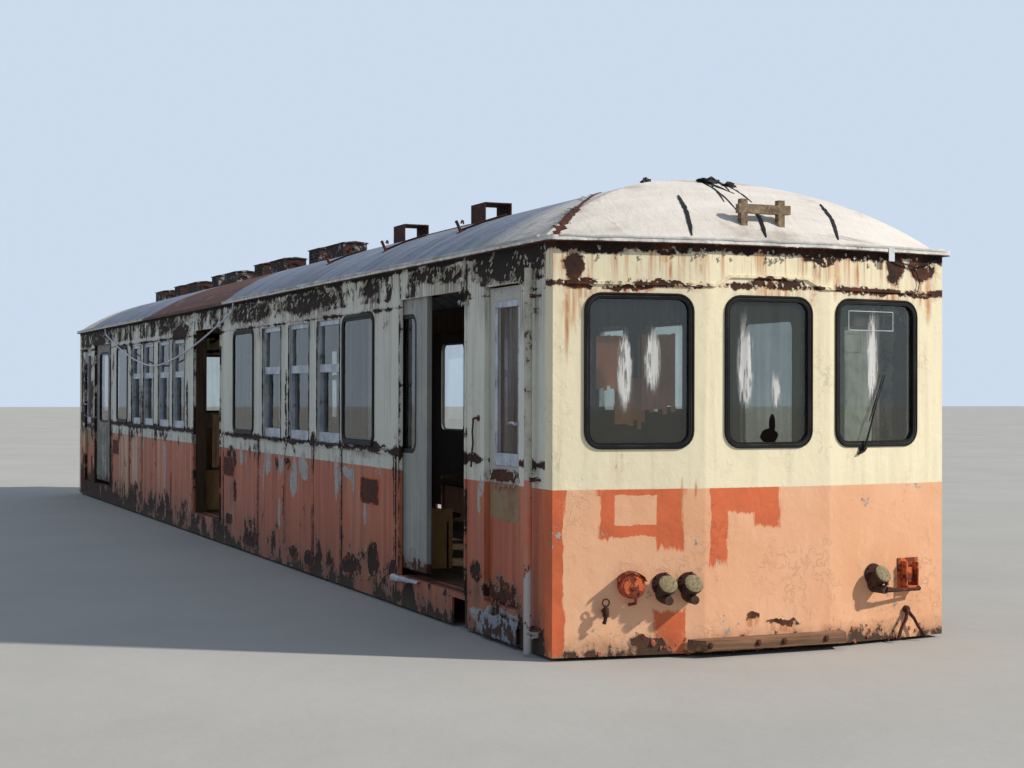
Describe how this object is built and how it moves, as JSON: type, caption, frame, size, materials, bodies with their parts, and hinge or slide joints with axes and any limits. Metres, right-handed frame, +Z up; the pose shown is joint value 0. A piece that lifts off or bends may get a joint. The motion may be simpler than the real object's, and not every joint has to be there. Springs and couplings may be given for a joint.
{
  "type": "electric railcar body",
  "caption": "Grounded body of an old electric railcar with faceted ends, domed roof, sliding doors in wall pockets and inward crew doors.",
  "frame": {"origin": "middle of the body at ground level, under its resting sills", "axes": "+X toward the pictured end, +Z up, right side is -Y"},
  "size_m": [17.117, 2.7458, 2.984],
  "materials": {
    "bench_cloth": "worn",
    "canvas_roof": "painted canvas, weathered",
    "cream_paint": "chalky, flaking, rust showing",
    "door_grey": "faded",
    "floor_timber": "worn",
    "grey_steel": "rusty",
    "gutter_white": "chalky",
    "lining_timber": "old varnish and paint",
    "orange_paint": "patchy, repainted, rust at the foot",
    "pipe_paint": "faded",
    "rubber_black": "weathered",
    "rusty_steel": "rusty",
    "sash_aluminium": "dull",
    "strip_white": "dull",
    "weathered_timber": "bare and grey",
    "window_glass": "dusty"
  },
  "bodies": {
    "car_body": {"bench_seats": "bench_cloth", "buffer_timbers": "weathered_timber", "cab_partitions": "lining_timber", "cab_side_walls": "cream_paint", "cantrails": "weathered_timber", "door_steps": "orange_paint", "door_tracks": "grey_steel", "downpipes": "pipe_paint", "floor_deck": "floor_timber", "front_end": "cream_paint", "gutter": "gutter_white", "hanging_strip": "strip_white", "inner_linings": "lining_timber", "jumper_sockets": "rusty_steel", "letterboards": "cream_paint", "rear_end": "cream_paint", "roof_box_frames": "rusty_steel", "roof_domes": "canvas_roof", "roof_main": "canvas_roof", "roof_timbers": "weathered_timber", "roof_ventilators": "grey_steel", "sash_frames": "sash_aluminium", "side_walls": "orange_paint", "underframe": "rusty_steel", "window_glass": "window_glass", "window_posts": "lining_timber", "window_rubbers": "rubber_black"},
    "crew_door_left_front": {"crew_door_left_front": "cream_paint", "crew_door_glass_left_front": "window_glass"},
    "crew_door_left_rear": {"crew_door_left_rear": "cream_paint", "crew_door_glass_left_rear": "window_glass"},
    "crew_door_right_front": {"crew_door_right_front": "cream_paint", "crew_door_glass_right_front": "window_glass"},
    "crew_door_right_rear": {"crew_door_right_rear": "cream_paint", "crew_door_glass_right_rear": "window_glass"},
    "sliding_door_left_front": {"sliding_door_left_front": "door_grey", "sliding_door_glass_left_front": "window_glass"},
    "sliding_door_left_middle": {"sliding_door_left_middle": "door_grey", "sliding_door_glass_left_middle": "window_glass"},
    "sliding_door_left_rear": {"sliding_door_left_rear": "door_grey", "sliding_door_glass_left_rear": "window_glass"},
    "sliding_door_right_front": {"sliding_door_right_front": "door_grey", "sliding_door_glass_right_front": "window_glass"},
    "sliding_door_right_rear": {"sliding_door_right_rear": "door_grey", "sliding_door_glass_right_rear": "window_glass"}
  },
  "joints": [
    {"name": "slide_right_front", "type": "slide", "parent": "car_body", "child": "sliding_door_right_front", "axis": [1, 0, 0], "range_m": [-0.406, 0.745]},
    {"name": "slide_right_rear", "type": "slide", "parent": "car_body", "child": "sliding_door_right_rear", "axis": [1, 0, 0], "range_m": [0, 1.133]},
    {"name": "slide_left_rear", "type": "slide", "parent": "car_body", "child": "sliding_door_left_rear", "axis": [1, 0, 0], "range_m": [0, 1.151]},
    {"name": "slide_left_middle", "type": "slide", "parent": "car_body", "child": "sliding_door_left_middle", "axis": [-1, 0, 0], "range_m": [0, 1.09]},
    {"name": "slide_left_front", "type": "slide", "parent": "car_body", "child": "sliding_door_left_front", "axis": [-1, 0, 0], "range_m": [0, 1.133]},
    {"name": "hinge_right_front", "type": "hinge", "parent": "car_body", "child": "crew_door_right_front", "pos_m": [7.34, -1.219, 1.1], "axis": [0, 0, 1], "range_deg": [0, 90]},
    {"name": "hinge_right_rear", "type": "hinge", "parent": "car_body", "child": "crew_door_right_rear", "pos_m": [-7.34, -1.219, 1.1], "axis": [0, 0, -1], "range_deg": [0, 90]},
    {"name": "hinge_left_rear", "type": "hinge", "parent": "car_body", "child": "crew_door_left_rear", "pos_m": [-7.34, 1.219, 1.1], "axis": [0, 0, 1], "range_deg": [0, 90]},
    {"name": "hinge_left_front", "type": "hinge", "parent": "car_body", "child": "crew_door_left_front", "pos_m": [7.34, 1.219, 1.1], "axis": [0, 0, -1], "range_deg": [0, 90]}
  ]
}
